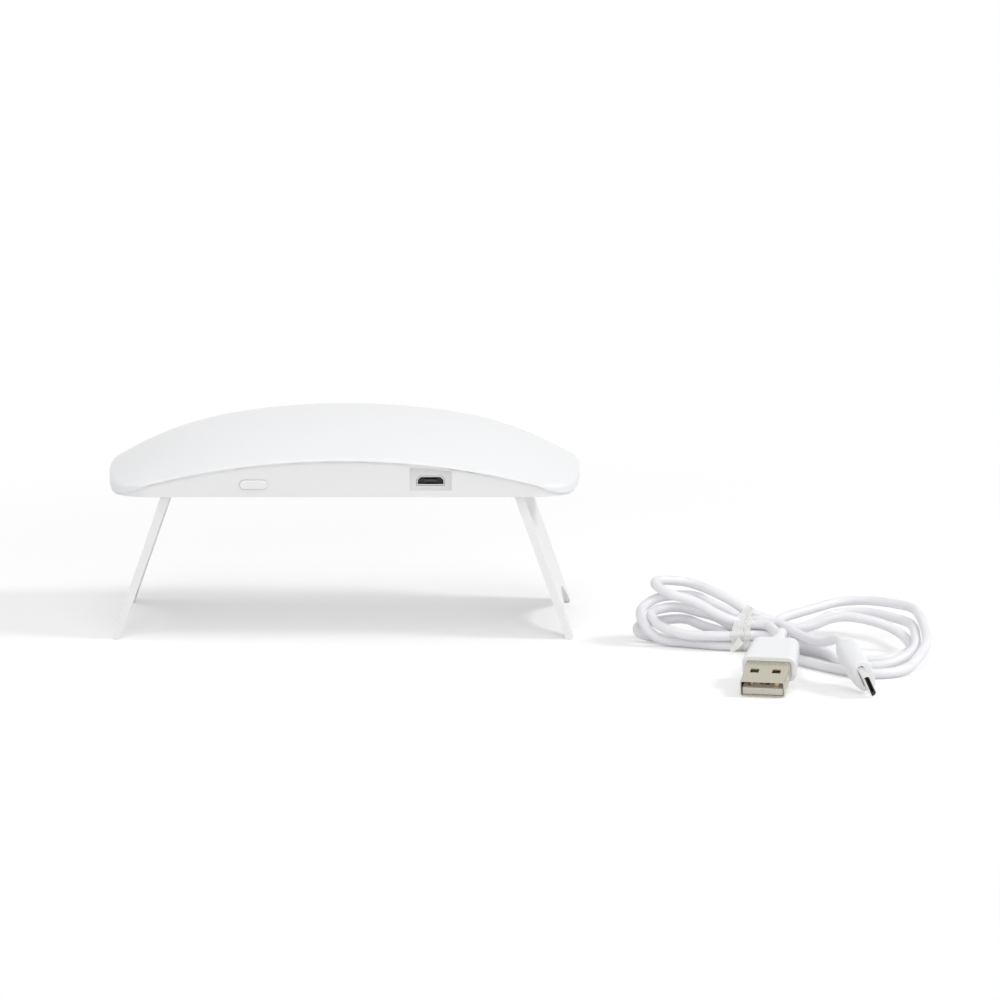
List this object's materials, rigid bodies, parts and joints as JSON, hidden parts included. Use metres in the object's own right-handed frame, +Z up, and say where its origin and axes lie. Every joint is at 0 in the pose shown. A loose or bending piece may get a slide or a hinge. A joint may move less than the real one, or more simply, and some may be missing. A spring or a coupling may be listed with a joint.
{
  "type": "led nail lamp",
  "caption": "Arched nail-curing lamp on two fold-in legs, with a side push-button, LEDs under a window, a micro USB inlet, and its USB lead tied in a hank beside it.",
  "frame": {"origin": "on the floor under the middle of the lamp, the lead not counted", "axes": "+X along the lamp's length, -Y towards the side with the button and the socket, +Z up"},
  "size_m": [0.2325, 0.1481, 0.0625],
  "materials": {
    "shell_white": "glossy",
    "base_white": "satin",
    "button_white": "glossy",
    "steel_pin": "drawn",
    "bright_tray": "mirror-like",
    "board": "solder resist",
    "led_dome": "clear dome",
    "black_plastic": "moulded",
    "coil_dark": "ferrite",
    "can_metal": "satin",
    "usb_metal": "nickel plated",
    "contact_gold": "gold flash",
    "tongue_light": "moulded",
    "cord_white": "satin sheath",
    "plug_white": "satin",
    "tie_cream": "translucent strip"
  },
  "bodies": {
    "housing": {"top_shell": "shell_white", "base_housing": "base_white", "hinge_pins_left": "steel_pin", "hinge_pins_right": "steel_pin", "reflector": "bright_tray", "circuit_board": "board", "led_1": "led_dome", "led_2": "led_dome", "led_3": "led_dome", "led_4": "led_dome", "led_5": "led_dome", "led_6": "led_dome", "board_screws": "steel_pin", "case_screws": "steel_pin", "power_switch": "black_plastic", "usb_socket_shell": "usb_metal", "usb_socket_tongue": "black_plastic", "usb_socket_contacts": "contact_gold", "control_chip": "black_plastic", "supply_coil": "coil_dark", "supply_capacitor": "can_metal", "chip_parts": "black_plastic", "cord_hank": "cord_white", "cord_usb_tail": "cord_white", "cord_micro_tail": "cord_white", "cable_tie": "tie_cream", "usb_plug_body": "plug_white", "usb_plug_shell": "usb_metal", "usb_plug_tongue": "tongue_light", "usb_plug_contacts": "contact_gold", "micro_plug_body": "plug_white", "micro_plug_shell": "usb_metal", "micro_plug_insert": "black_plastic", "micro_plug_contacts": "contact_gold"},
    "leg_left": {"leg_left": "base_white"},
    "leg_right": {"leg_right": "base_white"},
    "power_button": {"power_button": "button_white", "switch_plunger": "black_plastic"}
  },
  "joints": [
    {"name": "leg_right_fold", "type": "hinge", "parent": "housing", "child": "leg_right", "pos_m": [0.04775, 0, 0.0426], "axis": [0, 1, 0], "range_deg": [0, 109]},
    {"name": "leg_left_fold", "type": "hinge", "parent": "housing", "child": "leg_left", "pos_m": [-0.04775, 0, 0.0426], "axis": [0, -1, 0], "range_deg": [0, 109]},
    {"name": "button_press", "type": "slide", "parent": "housing", "child": "power_button", "axis": [0, 1, 0], "range_m": [0, 0.0005], "stiffness_N_per_m": 800, "springref_m": -0.0002}
  ]
}
